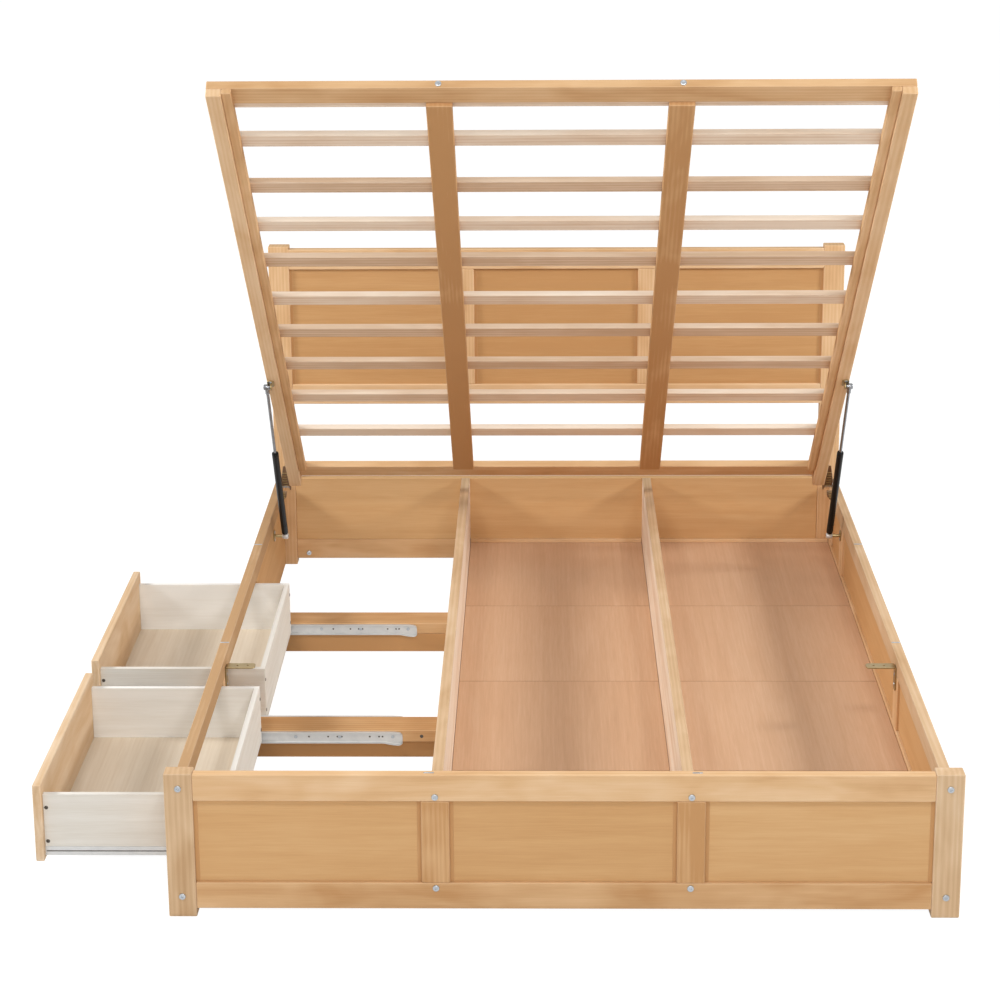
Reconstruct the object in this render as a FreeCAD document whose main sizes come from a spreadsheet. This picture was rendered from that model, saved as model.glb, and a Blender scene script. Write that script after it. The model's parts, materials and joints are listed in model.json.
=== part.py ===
import FreeCAD, Part
import os
import re

# A storage platform bed: panelled footboard and headboard, two drawers on the left side,
# two boarded storage bays, and a slatted lid that swings up on hinges and gas struts.
# +Z is up, +Y runs from the footboard to the headboard, and the origin lies on the floor
# under the middle of the frame. The lid is modelled open and the drawers pulled out.

os.makedirs("parts", exist_ok=True)
doc = FreeCAD.newDocument("storage_platform_bed")

# Driving dimensions, in millimetres and degrees
SIZES = {
    # Whole bed
    "bed_width": 1620,
    "bed_length": 2140,
    "footboard_height": 318,
    "headboard_height": 946,
    "edge_round": 2.5,
    "running_gap": 0.05,
    # Footboard and headboard frames
    "post_width": 58,
    "post_depth": 38,
    "foot_post_rise": 1.5,
    "head_post_rise": 8,
    "head_gap_top": 486,
    "member_width": 58,
    "member_thickness": 24,
    "rail_lift": 19,
    "panel_thickness": 9,
    "panel_inset": 8,
    "divider_offset": 260,
    # Side rails and side frames
    "side_rail_thickness": 24,
    "side_rail_height": 46,
    "side_rail_top": 252,
    "side_lift": 4,
    # Dividers and storage floor
    "divider_thickness": 24,
    "divider_top": 264,
    "floor_top": 70,
    "floor_thickness": 9,
    "floor_seam": 0.6,
    "ledger_width": 20,
    "ledger_height": 30,
    # Drawer bay cross rails and slides
    "first_cross_place": 62,
    "cross_width": 80,
    "cross_top": 83,
    "cross_batten_height": 29,
    "cross_web_thickness": 30,
    "drawer_pitch": 682,
    "slide_space": 13,
    "slide_lift": 54,
    "slide_height": 27,
    "slide_end_gap": 98,
    "slide_flange": 10,
    "sheet_thickness": 1.5,
    # Drawers
    "drawer_overlap": 110,
    "drawer_gap": 0.3,
    "drawer_front_length": 608,
    "drawer_front_height": 174,
    "drawer_front_lift": 53,
    "drawer_front_thickness": 18,
    "drawer_wall": 12,
    "drawer_back_gap": 122,
    "drawer_box_lift": 62,
    "drawer_box_height": 138,
    "drawer_bottom_thickness": 6,
    "drawer_bottom_rise": 8,
    "runner_height": 20,
    "roller_setback": 15,
    "roller_width": 6.5,
    "roller_gap": 0.3,
    "axle_radius": 2.5,
    "axle_end_gap": 1.5,
    # Lid
    "lid_angle": 43.7,
    "lid_side_gap": 32,
    "lid_reach": 1950,
    "lid_rail_setback": 35,
    "lid_rail_width": 33,
    "lid_rail_height": 40,
    "lid_axis_rise": 20.5,
    "lid_ledger_width": 21,
    "lid_ledger_height": 18,
    "end_rail_width": 57,
    "end_rail_thickness": 20,
    "head_rail_place": 60,
    "bearer_width": 57,
    "bearer_thickness": 14,
    "slat_width": 43,
    "foot_batten_width": 22,
    "slat_thickness": 15,
    # Hinges
    "hinge_setback": 97,
    "hinge_height": 275,
    "leaf_thickness": 3,
    "leaf_width": 26,
    "frame_leaf_length": 48,
    "lid_leaf_length": 150,
    "hinge_pin_radius": 5,
    "hinge_end_gap": 0.4,
    # Gas struts
    "strut_reach": 655,
    "strut_eye_drop": 12,
    "strut_foot_back_length": 180,
    "strut_foot_drop_height": 90,
    "strut_plate_length": 30,
    "strut_plate_width": 18,
    "barrel_radius": 9,
    "barrel_length": 335,
    "barrel_end_wall": 10,
    "neck_radius": 5,
    "neck_length": 6,
    "rod_radius": 4,
    "rod_length": 280,
    "eye_radius": 8,
    "eye_width": 18,
    "stud_radius": 4,
    "eye_gap": 0.4,
    # Angle brackets under the lid
    "bracket_set_down": 22,
    "bracket_arm": 70,
    "bracket_drop": 60,
    "bracket_width": 28,
    "bracket_thickness": 3,
    # Fasteners
    "bolt_head_radius": 7,
    "bolt_head_height": 3,
    "bolt_socket_radius": 2.6,
    "bolt_socket_depth": 1.8,
    "bolt_shank_radius": 3,
    "top_screw_radius": 5,
    "top_screw_height": 1,
}

# Counts and shares
FLOOR_PANELS = 4
DRAWERS = 2
BOX_EDGES = 12
CROSS_WEB_SHARES = {"front": 1, "middle": 0.5, "rear": 0}
SLAT_SHARES = (0.904, 0.807, 0.7215, 0.6385, 0.544, 0.4605, 0.372, 0.2795, 0.1755)
TOP_SCREW_SHARES = (0.404, 0.74)
POST_BOLT_SHARES = (0.145, 0.9)
HEAD_BOLT_SHARES = (0.05, 0.24)
TOP_RAIL_BOLT_SHARE = 0.17
BOTTOM_RAIL_BOLT_SHARE = 0.81

# Places that follow from the driving dimensions
PLACES = {
    "front": "-bed_length / 2",
    "rail_back": "front + member_thickness",
    "post_back": "front + post_depth",
    "head_front": "bed_length / 2 - post_depth",
    "half_width": "bed_width / 2",
    "post_inner": "half_width - post_width",
    "rail_inner": "half_width - side_rail_thickness",
    "side_length": "head_front - post_back",
    "side_rail_base": "side_rail_top - side_rail_height",
    "rail_span": "bed_width - 2 * post_width",
    "low_rail_top": "rail_lift + member_width",
    "foot_rail_top": "footboard_height - foot_post_rise",
    "foot_rail_base": "foot_rail_top - member_width",
    "head_rail_top": "headboard_height - head_post_rise",
    "head_rail_base": "head_rail_top - member_width",
    "middle_rail_top": "head_gap_top + member_width",
    "divider_inner": "divider_offset - divider_thickness / 2",
    "divider_outer": "divider_offset + divider_thickness / 2",
    "stile_inner": "divider_offset - member_width / 2",
    "stile_outer": "divider_offset + member_width / 2",
    "floor_base": "floor_top - floor_thickness",
    "first_cross": "front + first_cross_place",
    "bay_length": "drawer_pitch - cross_width",
    "bay_depth": "rail_inner - divider_outer",
    "slide_length": "bay_depth - slide_end_gap",
    "drawer_depth": "bay_depth - drawer_back_gap",
    "drawer_out": "drawer_depth - drawer_overlap",
    "drawer_face": "-(half_width + drawer_gap + drawer_out)",
    "drawer_back": "drawer_face + drawer_depth",
    "drawer_box_length": "bay_length - 2 * slide_space",
    "roller_radius": "slide_height / 2 - sheet_thickness - roller_gap",
    "roller_height": "slide_lift + slide_height / 2",
    "roller_place": "drawer_back - roller_setback",
    "lid_half": "rail_inner - lid_side_gap",
    "lid_inner": "lid_half - lid_rail_width",
    "hinge_y": "head_front - hinge_setback",
    "lid_base": "-lid_axis_rise",
    "lid_top": "lid_rail_height - lid_axis_rise",
    "slat_base": "lid_top - slat_thickness",
    "foot_rail_inside": "lid_reach - end_rail_width",
    "head_rail_inside": "head_rail_place + end_rail_width",
    "inside_length": "foot_rail_inside - head_rail_inside",
    "bracket_top": "side_rail_top - bracket_set_down",
    "bracket_y": "first_cross + drawer_pitch + cross_width / 2",
    "strut_foot_y": "hinge_y - strut_foot_back_length",
    "strut_foot_z": "hinge_height - strut_foot_drop_height",
    "strut_hang": "lid_axis_rise + strut_eye_drop",
    "strut_rise": "strut_reach * sin(lid_angle) - strut_hang * cos(lid_angle) + strut_foot_drop_height",
    "strut_run": "strut_reach * cos(lid_angle) + strut_hang * sin(lid_angle) - strut_foot_back_length",
    "strut_span": "sqrt(strut_run * strut_run + strut_rise * strut_rise)",
    "strut_tilt": "atan2(strut_run; strut_rise)",
    "eye_inner": "lid_half - eye_width / 2",
    "eye_outer": "lid_half + eye_width / 2",
    "tab_outer": "eye_inner - eye_gap",
    "barrel_start": "eye_radius + neck_length",
}

sheet = doc.addObject("Spreadsheet::Sheet", "sizes")
for row, (name, value) in enumerate(SIZES.items(), start=1):
    sheet.set(f"A{row}", name)
    sheet.set(f"B{row}", str(value))
    sheet.setAlias(f"B{row}", name)
doc.recompute()

# Moving frames: the open lid about its hinge, and a strut about its lower stud
STILL = "placement(vector(0; 0; 0); rotation(vector(0; 0; 1); 0))"
ON_LID = "placement(vector(0; hinge_y; hinge_height); rotation(vector(1; 0; 0); -lid_angle))"
ON_STRUT = "placement(vector(0; strut_foot_y; strut_foot_z); rotation(vector(1; 0; 0); strut_tilt))"

# Turns that lay a cylinder along each axis
ALONG = {
    "x": "rotation(vector(0; 1; 0); 90)",
    "y": "rotation(vector(1; 0; 0); -90)",
    "z": "rotation(vector(0; 0; 1); 0)",
}
SIDES = {"left": -1, "right": 1}
nodes = {}


def formula(text):
    """Point every named size in a formula at its cell of the sheet."""
    def swap(match):
        word = match.group(0)
        if word in PLACES:
            return "(" + formula(PLACES[word]) + ")"
        if word in SIZES:
            return "sizes." + word
        return word
    return re.sub("[a-z_]+", swap, text)


def place(item, low, frame, turn=ALONG["z"]):
    """Put a primitive at a point of a frame."""
    spot = "placement(vector(" + "; ".join(low) + "); " + turn + ")"
    item.setExpression("Placement", formula(frame + " * " + spot))


def block(low, size, frame=STILL):
    """A plain box from its lowest corner."""
    item = doc.addObject("Part::Box", "block")
    for side, text in zip(("Length", "Width", "Height"), size):
        item.setExpression(side, formula(text))
    place(item, low, frame)
    return item


def board(low, size, frame=STILL):
    """A wooden board: a box with all its edges eased."""
    base = block(low, size, frame)
    eased = doc.addObject("Part::Fillet", "board")
    eased.Base = base
    radius = sheet.get("edge_round")
    eased.Edges = [(edge, radius, radius) for edge in range(1, BOX_EDGES + 1)]
    return eased


def round_bar(low, length, radius, axis, frame=STILL):
    """A cylinder that starts at a point and runs along an axis."""
    item = doc.addObject("Part::Cylinder", "round_bar")
    item.setExpression("Height", formula(length))
    item.setExpression("Radius", formula(radius))
    place(item, low, frame, ALONG[axis])
    return item


def group(pieces):
    """Several separate solids as one object."""
    if len(pieces) == 1:
        return pieces[0]
    item = doc.addObject("Part::Compound", "group")
    item.Links = pieces
    return item


def fuse(pieces):
    """Several touching solids as one solid."""
    item = doc.addObject("Part::MultiFuse", "fuse")
    item.Shapes = pieces
    item.Refine = True
    return item


def cut(base, tools):
    """A solid with holes or recesses taken out of it."""
    item = doc.addObject("Part::Cut", "cut")
    item.Base = base
    item.Tool = group(tools)
    return item


def node(name, pieces):
    """Name the pieces of one sub-part."""
    item = group(pieces)
    item.Label = name
    nodes[name] = item


def low_x(sign, inner, outer):
    """The lowest x of something that lies between two distances from the middle."""
    return inner if sign > 0 else f"-({outer})"


def bolt(x, y, z, length, facing):
    """A bolt along Y with a socket head that stands on a face; facing is 1 towards +Y."""
    head_y = y if facing > 0 else f"{y} - bolt_head_height"
    socket_y = f"{y} + bolt_head_height - bolt_socket_depth" if facing > 0 else head_y
    shank_y = f"{y} - ({length})" if facing > 0 else y
    head = round_bar((x, head_y, z), "bolt_head_height", "bolt_head_radius", "y")
    shank = round_bar((x, shank_y, z), length, "bolt_shank_radius", "y")
    socket = round_bar((x, socket_y, z), "bolt_socket_depth", "bolt_socket_radius", "y")
    return cut(fuse([head, shank]), [socket])


def bolt_hole(x, y, z, length):
    """The drilled hole that a bolt passes through."""
    return round_bar((x, y, z), length, "bolt_shank_radius + running_gap", "y")


# Footboard
def footboard():
    post_bolts = []
    for side, sign in SIDES.items():
        x = f"{sign} * (half_width - post_width / 2)"
        heights = [f"footboard_height * {share}" for share in POST_BOLT_SHARES]
        post = board((low_x(sign, "post_inner", "half_width"), "front", "0"),
                     ("post_width", "post_depth", "footboard_height"))
        holes = [bolt_hole(x, "front", z, "post_depth") for z in heights]
        node(f"footboard_{side}_post", [cut(post, holes)])
        post_bolts += [bolt(x, "front", z, "post_depth", -1) for z in heights]
    rails = {"top": ("foot_rail_base", TOP_RAIL_BOLT_SHARE),
             "bottom": ("rail_lift", BOTTOM_RAIL_BOLT_SHARE)}
    rail_bolts = []
    for name, (base, share) in rails.items():
        bolt_z = f"{base} + member_width * {share}"
        rail = board(("-post_inner", "front", base), ("rail_span", "member_thickness", "member_width"))
        spots = [f"{sign} * divider_offset" for sign in SIDES.values()]
        holes = [bolt_hole(x, "front", bolt_z, "member_thickness") for x in spots]
        node(f"footboard_{name}_rail", [cut(rail, holes)])
        rail_bolts += [bolt(x, "front", bolt_z, "member_thickness", -1) for x in spots]
    node("footboard_stiles", [
        board((low_x(sign, "stile_inner", "stile_outer"), "front", "low_rail_top"),
              ("member_width", "member_thickness", "foot_rail_base - low_rail_top"))
        for sign in SIDES.values()])
    node("footboard_panels", panels("front + panel_inset", "low_rail_top", "foot_rail_base"))
    node("footboard_bolts", post_bolts + rail_bolts)


def panels(y, base, top):
    """The three thin panels between the posts and stiles of an end frame."""
    fields = (("-post_inner", "-stile_outer"), ("-stile_inner", "stile_inner"),
              ("stile_outer", "post_inner"))
    return [block((low, y, base), (f"{high} - ({low})", "panel_thickness", f"{top} - ({base})"))
            for low, high in fields]


# Headboard
def headboard():
    bolts = []
    for side, sign in SIDES.items():
        x = f"{sign} * (half_width - side_rail_thickness / 2)"
        heights = [f"headboard_height * {share}" for share in HEAD_BOLT_SHARES]
        post = board((low_x(sign, "post_inner", "half_width"), "head_front", "0"),
                     ("post_width", "post_depth", "headboard_height"))
        holes = [bolt_hole(x, "head_front", z, "post_depth") for z in heights]
        node(f"headboard_{side}_post", [cut(post, holes)])
        bolts += [bolt(x, "bed_length / 2", z, "post_depth", 1) for z in heights]
    for name, base in (("top", "head_rail_base"), ("middle", "head_gap_top"), ("bottom", "rail_lift")):
        rail = board(("-post_inner", "head_front", base), ("rail_span", "member_thickness", "member_width"))
        node(f"headboard_{name}_rail", [rail])
    node("headboard_apron", [board(("-post_inner", "head_front", "low_rail_top"),
                                   ("rail_span", "member_thickness", "divider_top - low_rail_top"))])
    node("headboard_stiles", [
        board((low_x(sign, "stile_inner", "stile_outer"), "head_front", "middle_rail_top"),
              ("member_width", "member_thickness", "head_rail_base - middle_rail_top"))
        for sign in SIDES.values()])
    node("headboard_panels", panels("head_front + panel_inset", "middle_rail_top", "head_rail_base"))
    node("headboard_bolts", bolts)


# Left side: rail over the drawers, stiles between them, and a closed end panel
def left_side():
    x = "-half_width"
    node("left_side_rail", [board((x, "post_back", "side_rail_base"),
                                  ("side_rail_thickness", "side_length", "side_rail_height"))])
    stile_height = "side_rail_base - side_lift"
    node("left_side_stiles", [
        board((x, "post_back", "side_lift"),
              ("side_rail_thickness", "first_cross + cross_width - post_back", stile_height)),
        board((x, "first_cross + drawer_pitch", "side_lift"),
              ("side_rail_thickness", "cross_width", stile_height))])
    end_y = f"first_cross + {DRAWERS} * drawer_pitch"
    node("left_end_panel", [board((x, end_y, "side_lift"),
                                  ("side_rail_thickness", f"head_front - ({end_y})", stile_height))])


# Right side: a framed panel
def right_side():
    x = "rail_inner"
    node("right_side_rail", [board((x, "post_back", "side_rail_base"),
                                   ("side_rail_thickness", "side_length", "side_rail_height"))])
    node("right_bottom_rail", [board((x, "post_back", "rail_lift"),
                                     ("side_rail_thickness", "side_length", "member_width"))])
    starts = ("post_back", "bracket_y - member_width / 2", "strut_foot_y - member_width / 2",
              "head_front - member_width")
    height = "side_rail_base - low_rail_top"
    stile_size = ("side_rail_thickness", "member_width", height)
    node("right_side_stiles", [board((x, y, "low_rail_top"), stile_size) for y in starts])
    panel_x = "half_width - panel_inset - panel_thickness"
    node("right_side_panels", [
        block((panel_x, f"{start} + member_width", "low_rail_top"),
              ("panel_thickness", f"{stop} - ({start}) - member_width", height))
        for start, stop in zip(starts, starts[1:])])


# Dividers, storage floor and the ledgers under it
def storage():
    node("dividers", [
        board((low_x(sign, "divider_inner", "divider_outer"), "rail_back", "rail_lift"),
              ("divider_thickness", "head_front - rail_back", "divider_top - rail_lift"))
        for sign in SIDES.values()])
    ledger_spots = ("-divider_inner", "divider_inner - ledger_width", "divider_outer",
                    "rail_inner - ledger_width")
    ledger_size = ("ledger_width", "side_length", "ledger_height")
    node("floor_ledgers", [block((x, "post_back", "floor_base - ledger_height"), ledger_size)
                           for x in ledger_spots])
    length = f"side_length / {FLOOR_PANELS}"
    bays = (("-divider_inner", "divider_inner"), ("divider_outer", "rail_inner"))
    node("floor_panels", [
        block((f"{low} + floor_seam", f"post_back + {index} * {length}", "floor_base"),
              (f"{high} - ({low}) - 2 * floor_seam", f"{length} - floor_seam", "floor_thickness"))
        for low, high in bays for index in range(FLOOR_PANELS)])


# Drawer bays: cross rails with a slide on each face that a drawer runs past
def drawer_bays():
    for index, (name, share) in enumerate(CROSS_WEB_SHARES.items()):
        y = f"first_cross + {index} * drawer_pitch"
        batten = block(("-rail_inner", y, "cross_top - cross_batten_height"),
                       ("bay_depth", "cross_width", "cross_batten_height"))
        web = block(("-rail_inner", f"{y} + (cross_width - cross_web_thickness) * {share}", "side_lift"),
                    ("bay_depth", "cross_web_thickness", "cross_top - cross_batten_height - side_lift"))
        node(f"{name}_cross_rail", [fuse([batten, web])])
    slides = []
    for index in range(DRAWERS):
        bay = f"first_cross + cross_width + {index} * drawer_pitch"
        slides.append(slide(bay, 1))
        slides.append(slide(f"{bay} + bay_length", -1))
    node("bay_slides", slides)


def slide(face, facing):
    """A channel fixed to a cross rail's face; facing is 1 where the channel opens towards +Y."""
    web_y = face if facing > 0 else f"{face} - sheet_thickness"
    flange_y = face if facing > 0 else f"{face} - slide_flange"
    web = block(("-rail_inner", web_y, "slide_lift"), ("slide_length", "sheet_thickness", "slide_height"))
    flanges = [block(("-rail_inner", flange_y, z), ("slide_length", "slide_flange", "sheet_thickness"))
               for z in ("slide_lift", "slide_lift + slide_height - sheet_thickness")]
    return fuse([web] + flanges)


# One drawer: front, two sides, back, bottom, runners and rollers
def drawer(name, index):
    bay = f"first_cross + cross_width + {index} * drawer_pitch"
    start = f"{bay} + slide_space"
    stop = f"{start} + drawer_box_length"
    front_y = f"{bay} + (bay_length - drawer_front_length) / 2"
    node(f"{name}_drawer_front", [board(
        ("drawer_face - drawer_front_thickness", front_y, "drawer_front_lift"),
        ("drawer_front_thickness", "drawer_front_length", "drawer_front_height"))])
    side_size = ("drawer_depth", "drawer_wall", "drawer_box_height")
    node(f"{name}_drawer_sides", [block(("drawer_face", y, "drawer_box_lift"), side_size)
                                  for y in (start, f"{stop} - drawer_wall")])
    inside = "drawer_box_length - 2 * drawer_wall"
    node(f"{name}_drawer_back", [block(
        ("drawer_back - drawer_wall", f"{start} + drawer_wall", "drawer_box_lift"),
        ("drawer_wall", inside, "drawer_box_height"))])
    node(f"{name}_drawer_bottom", [block(
        ("drawer_face", f"{start} + drawer_wall", "drawer_box_lift + drawer_bottom_rise"),
        ("drawer_depth - drawer_wall", inside, "drawer_bottom_thickness"))])
    node(f"{name}_drawer_runners", [runner(start, -1), runner(stop, 1)])
    node(f"{name}_drawer_rollers", [roller(bay, 1), roller(f"{bay} + bay_length", -1)])


def runner(face, facing):
    """An angle under a drawer side, with an axle at its back; facing is 1 towards +Y."""
    web_y = face if facing > 0 else f"{face} - sheet_thickness"
    foot_y = f"{face} - drawer_wall" if facing > 0 else web_y
    foot_z = "drawer_box_lift - sheet_thickness"
    web = block(("drawer_face", web_y, foot_z), ("drawer_depth", "sheet_thickness", "runner_height"))
    foot = block(("drawer_face", foot_y, foot_z),
                 ("drawer_depth", "drawer_wall + sheet_thickness", "sheet_thickness"))
    reach = "slide_space - sheet_thickness - axle_end_gap"
    axle_y = face if facing > 0 else f"{face} - ({reach})"
    axle = round_bar(("roller_place", axle_y, "roller_height"), reach, "axle_radius", "y")
    return fuse([web, foot, axle])


def roller(face, facing):
    """A roller that runs in the slide on a cross rail's face."""
    middle = f"{face} + {facing} * slide_space / 2"
    low = ("roller_place", f"{middle} - roller_width / 2", "roller_height")
    wheel = round_bar(low, "roller_width", "roller_radius", "y")
    bore = round_bar(low, "roller_width", "axle_radius + running_gap", "y")
    return cut(wheel, [bore])


# Lid: a slatted frame, laid out from its hinge axis towards the foot (-Y) and then swung open
def lid():
    signs = SIDES.values()
    foot_place = ("-lid_half", "-lid_reach", "lid_top - end_rail_thickness")
    foot_size = ("2 * lid_half", "end_rail_width", "end_rail_thickness")
    node("lid_foot_rail", [board(foot_place, foot_size, ON_LID)])
    node("lid_head_rail", [
        board(("-lid_inner", "-head_rail_inside", "lid_top - end_rail_thickness"),
              ("2 * lid_inner", "end_rail_width", "end_rail_thickness"), ON_LID)])
    node("lid_side_rails", [
        cut(block((low_x(sign, "lid_inner", "lid_half"), "-lid_reach", "lid_base"),
                  ("lid_rail_width", "lid_reach - lid_rail_setback", "lid_rail_height"), ON_LID),
            [block(foot_place, foot_size, ON_LID)])
        for sign in signs])
    node("lid_ledgers", [
        cut(block((low_x(sign, "lid_inner - lid_ledger_width", "lid_inner"), "-lid_reach",
                   "slat_base - lid_ledger_height"),
                  ("lid_ledger_width", "inside_length + end_rail_width", "lid_ledger_height"), ON_LID),
            [block(foot_place, foot_size, ON_LID)])
        for sign in signs])
    node("lid_bearers", [
        board((low_x(sign, "divider_offset - bearer_width / 2", "divider_offset + bearer_width / 2"),
               "-foot_rail_inside", "slat_base - bearer_thickness"),
              ("bearer_width", "inside_length", "bearer_thickness"), ON_LID)
        for sign in signs])
    batten_size = ("2 * lid_inner", "foot_batten_width", "slat_thickness")
    slats = [board(("-lid_inner", "-foot_rail_inside", "slat_base"), batten_size, ON_LID)]
    slat_size = ("2 * lid_inner", "slat_width", "slat_thickness")
    slats += [board(("-lid_inner", f"-(lid_reach * {share})", "slat_base"), slat_size, ON_LID)
              for share in SLAT_SHARES]
    node("lid_slats", slats)
    node("lid_bolts", [
        round_bar((f"{sign} * divider_offset", "-lid_reach - bolt_head_height",
                   "lid_top - end_rail_thickness / 2"),
                  "bolt_head_height", "bolt_head_radius", "y", ON_LID)
        for sign in signs])


# Hinges: a leaf on each side rail, a leaf on each lid rail, and a pin across the gap
def hinges():
    frame_leaves = []
    lid_leaves = []
    pins = []
    for sign in SIDES.values():
        outer_x = low_x(sign, "rail_inner - leaf_thickness", "rail_inner")
        axis = (outer_x, "hinge_y", "hinge_height")
        plate = block((outer_x, "hinge_y - leaf_width / 2", "hinge_height - frame_leaf_length"),
                      ("leaf_thickness", "leaf_width", "frame_leaf_length"))
        frame_leaves.append(leaf(plate, axis, STILL))
        inner_x = low_x(sign, "lid_half", "lid_half + leaf_thickness")
        plate = block((inner_x, "-lid_leaf_length", "-leaf_width / 2"),
                      ("leaf_thickness", "lid_leaf_length", "leaf_width"), ON_LID)
        lid_leaves.append(leaf(plate, (inner_x, "0", "0"), ON_LID))
        pin_x = low_x(sign, "lid_half + hinge_end_gap", "rail_inner")
        pins.append(round_bar((pin_x, "hinge_y", "hinge_height"),
                              "rail_inner - lid_half - hinge_end_gap", "hinge_pin_radius", "x"))
    node("hinge_frame_leaves", frame_leaves)
    node("hinge_lid_leaves", lid_leaves)
    node("hinge_pins", pins)


def leaf(plate, axis, frame):
    """A hinge leaf with a round end and a bore for the pin."""
    end = round_bar(axis, "leaf_thickness", "leaf_width / 2", "x", frame)
    bore = round_bar(axis, "leaf_thickness", "hinge_pin_radius + running_gap", "x", frame)
    return cut(fuse([plate, end]), [bore])


# Gas struts: a barrel on a stud of the side frame, and a rod that ends beside a tab under the lid's rail
def struts():
    frame_plates = []
    lid_plates = []
    for side, sign in SIDES.items():
        middle = f"{sign} * lid_half"
        eye_x = low_x(sign, "eye_inner", "eye_outer")
        eye = round_bar((eye_x, "0", "0"), "eye_width", "eye_radius", "x", ON_STRUT)
        neck = round_bar((middle, "0", "(stud_radius + eye_radius) / 2"),
                         "barrel_start - (stud_radius + eye_radius) / 2", "neck_radius", "z", ON_STRUT)
        tube = round_bar((middle, "0", "barrel_start"), "barrel_length", "barrel_radius", "z", ON_STRUT)
        eye_bore = round_bar((eye_x, "0", "0"), "eye_width", "stud_radius + running_gap", "x", ON_STRUT)
        bore = round_bar((middle, "0", "barrel_start + barrel_end_wall"),
                         "barrel_length - barrel_end_wall", "rod_radius + running_gap", "z", ON_STRUT)
        node(f"{side}_strut_barrel", [cut(fuse([eye, neck, tube]), [eye_bore, bore])])
        rod = round_bar((middle, "0", "strut_span - rod_length"), "rod_length", "rod_radius", "z", ON_STRUT)
        end = round_bar((eye_x, "0", "strut_span"), "eye_width", "eye_radius", "x", ON_STRUT)
        node(f"{side}_strut_rod", [fuse([rod, end])])
        plate_x = low_x(sign, "rail_inner - leaf_thickness", "rail_inner")
        plate = block((plate_x, "strut_foot_y - strut_plate_width / 2",
                       "strut_foot_z - strut_plate_length / 2"),
                      ("leaf_thickness", "strut_plate_width", "strut_plate_length"))
        stud = round_bar((low_x(sign, "eye_inner", "rail_inner"), "strut_foot_y", "strut_foot_z"),
                         "rail_inner - eye_inner", "stud_radius", "x")
        frame_plates.append(fuse([plate, stud]))
        plate = block((low_x(sign, "tab_outer - strut_plate_width / 2", "tab_outer + strut_plate_width / 2"),
                       "-strut_reach - strut_plate_length / 2", "lid_base - leaf_thickness"),
                      ("strut_plate_width", "strut_plate_length", "leaf_thickness"), ON_LID)
        tab = block((low_x(sign, "tab_outer - leaf_thickness", "tab_outer"),
                     "-strut_reach - eye_radius", "-strut_hang - eye_radius"),
                    ("leaf_thickness", "2 * eye_radius", "strut_eye_drop + eye_radius"), ON_LID)
        lid_plates.append(fuse([plate, tab]))
    node("strut_frame_brackets", frame_plates)
    node("strut_lid_brackets", lid_plates)


# Angle brackets on the side rails, under the closed lid
def rest_brackets():
    angles = []
    for sign in SIDES.values():
        y = "bracket_y - bracket_width / 2"
        arm = block((low_x(sign, "rail_inner - bracket_arm", "rail_inner"), y,
                     "bracket_top - bracket_thickness"),
                    ("bracket_arm", "bracket_width", "bracket_thickness"))
        drop = block((low_x(sign, "rail_inner - bracket_thickness", "rail_inner"), y,
                      "bracket_top - bracket_drop"),
                     ("bracket_thickness", "bracket_width", "bracket_drop"))
        angles.append(fuse([arm, drop]))
    node("lid_rest_brackets", angles)


# Low steel screw heads along the tops of the side rails and the footboard
def top_screws():
    spots = [(f"{sign} * (half_width - side_rail_thickness / 2)", f"post_back + side_length * {share}",
              "side_rail_top") for sign in SIDES.values() for share in TOP_SCREW_SHARES]
    spots += [(f"{sign} * divider_outer", "front + member_thickness / 2", "foot_rail_top")
              for sign in SIDES.values()]
    node("rail_top_screws", [round_bar(spot, "top_screw_height", "top_screw_radius", "z")
                             for spot in spots])


footboard()
headboard()
left_side()
right_side()
storage()
drawer_bays()
drawer("front", 0)
drawer("rear", 1)
lid()
hinges()
struts()
rest_brackets()
top_screws()
doc.recompute()

# Check every object before anything is written
for item in doc.Objects:
    if {"Invalid", "Error"} & set(item.State):
        raise RuntimeError(f"{item.Label} failed: {item.State}")
for name, item in nodes.items():
    if item.Shape.isNull() or not item.Shape.isValid():
        raise RuntimeError(f"{name} has no valid shape")
    item.Shape.exportStep(f"parts/{name}.step")
print(len(nodes), "sub-parts written")
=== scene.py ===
# %% [markdown]
# # A storage bed, dressed in wood and steel
# The solid model of the bed arrives as a fixed frame: every board, hinge and drawer is already in its
# place, in metres. This lesson dresses that frame. We could model each board again from drawings, but
# it is safer to read the place of each solid and build a finer board exactly there.

# %% Load the frame
import bmesh
import bpy
import json
import math
import random
from mathutils import Matrix, Vector


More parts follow.
